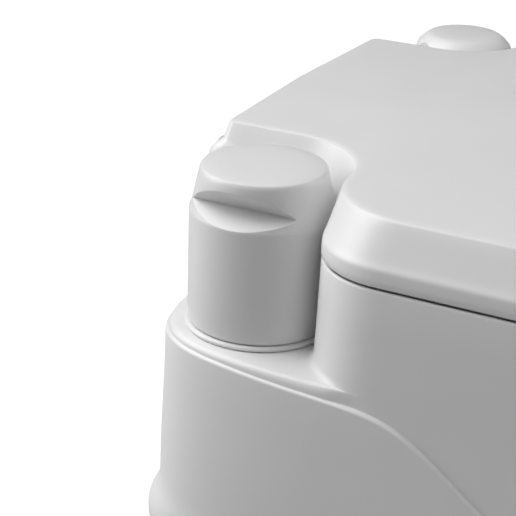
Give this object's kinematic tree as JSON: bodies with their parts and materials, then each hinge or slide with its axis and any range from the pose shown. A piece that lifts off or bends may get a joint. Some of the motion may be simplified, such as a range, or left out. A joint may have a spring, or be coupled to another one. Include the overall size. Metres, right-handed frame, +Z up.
{
  "type": "portable camping toilet",
  "caption": "Portable two-part toilet: flush tank with bowl, seat, bevelled lid and pull-up pump on a detachable waste tank with slide valve and pour-out spout.",
  "frame": {"origin": "floor level under the centre of the footprint", "axes": "+X to the right seen from the front, +Y towards the rear where the pump and filler are, +Z up"},
  "size_m": [0.4014, 0.446, 0.3997],
  "materials": {
    "white_plastic": "gloss moulded, faint texture",
    "grey_plastic": "satin blow-moulded",
    "bowl_plastic": "polished",
    "grey_parts": "fine matte",
    "blade_plastic": "smooth matte",
    "seal_rubber": "matte",
    "stainless": "satin",
    "float_orange": "smooth",
    "window_clear": "clear moulded"
  },
  "bodies": {
    "waste_section": {"waste_tank": "grey_plastic", "foot_front_left": "seal_rubber", "foot_front_right": "seal_rubber", "foot_rear_left": "seal_rubber", "foot_rear_right": "seal_rubber", "valve_frame": "grey_parts", "valve_seal": "seal_rubber", "valve_screw_1": "stainless", "valve_screw_2": "stainless", "valve_screw_3": "stainless", "valve_screw_4": "stainless", "spout_bearing": "grey_parts", "vent_housing": "grey_parts", "handle_pin_left": "stainless", "handle_pin_right": "stainless", "float_bracket": "grey_parts", "level_window": "window_clear", "latch_pin_left": "stainless", "latch_pin_right": "stainless"},
    "valve_slide": {"valve_blade": "blade_plastic", "valve_handle": "grey_parts"},
    "spout": {"pour_spout": "grey_parts"},
    "spout_washer": {"spout_seal": "seal_rubber"},
    "spout_closure": {"spout_cap": "grey_parts"},
    "vent": {"vent_button": "float_orange"},
    "bail": {"carry_handle": "grey_parts"},
    "float_arm": {"level_float": "float_orange"},
    "latch_lever_left": {"latch_left": "grey_parts"},
    "latch_lever_right": {"latch_right": "grey_parts"},
    "flush_section": {"flush_tank": "white_plastic", "bowl": "bowl_plastic", "spray_nozzle": "grey_parts", "flush_pipe": "window_clear", "pump_collar": "white_plastic", "pump_barrel": "grey_parts", "pump_guide": "grey_parts", "filler_neck": "white_plastic", "latch_stud_left": "stainless", "latch_stud_right": "stainless", "hinge_bracket_left": "white_plastic", "hinge_bracket_right": "white_plastic", "hinge_pin_left": "stainless", "hinge_pin_right": "stainless", "hinge_screw_left": "stainless", "hinge_screw_right": "stainless"},
    "pump": {"pump_knob": "white_plastic", "pump_rod": "stainless", "pump_piston": "grey_parts", "piston_ring": "seal_rubber"},
    "filler_washer": {"filler_seal": "seal_rubber"},
    "filler_closure": {"filler_cap": "white_plastic"},
    "seat_ring": {"seat": "white_plastic", "seat_buffer_1": "seal_rubber", "seat_buffer_2": "seal_rubber", "seat_buffer_3": "seal_rubber", "seat_buffer_4": "seal_rubber"},
    "lid_cover": {"lid": "white_plastic", "lid_buffer_1": "seal_rubber", "lid_buffer_2": "seal_rubber"}
  },
  "joints": [
    {"name": "upper_lift", "type": "slide", "parent": "waste_section", "child": "flush_section", "axis": [0, 0, 1], "range_m": [0, 0.09]},
    {"name": "seat_hinge", "type": "hinge", "parent": "flush_section", "child": "seat_ring", "pos_m": [0, 0.2175, 0.3745], "axis": [-1, 0, 0], "range_deg": [0, 95]},
    {"name": "lid_hinge", "type": "hinge", "parent": "seat_ring", "child": "lid_cover", "pos_m": [0, 0.2175, 0.3745], "axis": [-1, 0, 0], "range_deg": [0, 98]},
    {"name": "pump_pull", "type": "slide", "parent": "flush_section", "child": "pump", "axis": [0, 0, 1], "range_m": [0, 0.06]},
    {"name": "filler_lift", "type": "slide", "parent": "flush_section", "child": "filler_washer", "axis": [0, 0, 1], "range_m": [0, 0.03]},
    {"name": "filler_turn", "type": "hinge", "parent": "filler_washer", "child": "filler_closure", "pos_m": [0.1408, 0.157, 0.3816], "axis": [0, 0, 1], "range_deg": [0, 90]},
    {"name": "valve_pull", "type": "slide", "parent": "waste_section", "child": "valve_slide", "axis": [0, -1, 0], "range_m": [0, 0.106]},
    {"name": "spout_swivel", "type": "hinge", "parent": "waste_section", "child": "spout", "pos_m": [0.118, 0.185, 0.165], "axis": [0, 0, -1], "range_deg": [0, 90]},
    {"name": "spout_cap_lift", "type": "slide", "parent": "spout", "child": "spout_washer", "axis": [-1, 0, 0], "range_m": [0, 0.02]},
    {"name": "spout_cap_turn", "type": "hinge", "parent": "spout_washer", "child": "spout_closure", "pos_m": [-0.02, 0.185, 0.165], "axis": [-1, 0, 0], "range_deg": [0, 90]},
    {"name": "vent_press", "type": "slide", "parent": "waste_section", "child": "vent", "axis": [0, 0, -1], "range_m": [0, 0.004], "stiffness_N_per_m": 400, "springref_m": -0.002},
    {"name": "bail_swing", "type": "hinge", "parent": "waste_section", "child": "bail", "pos_m": [0, -0.2085, 0.152], "axis": [-1, 0, 0], "range_deg": [0, 95]},
    {"name": "float_swing", "type": "hinge", "parent": "waste_section", "child": "float_arm", "pos_m": [0, -0.2, 0.07], "axis": [0, -1, 0], "range_deg": [0, 65]},
    {"name": "latch_turn_left", "type": "hinge", "parent": "waste_section", "child": "latch_lever_left", "pos_m": [-0.1965, -0.02, 0.18], "axis": [-1, 0, 0], "range_deg": [0, 90]},
    {"name": "latch_turn_right", "type": "hinge", "parent": "waste_section", "child": "latch_lever_right", "pos_m": [0.1965, -0.02, 0.18], "axis": [-1, 0, 0], "range_deg": [0, 90]}
  ]
}
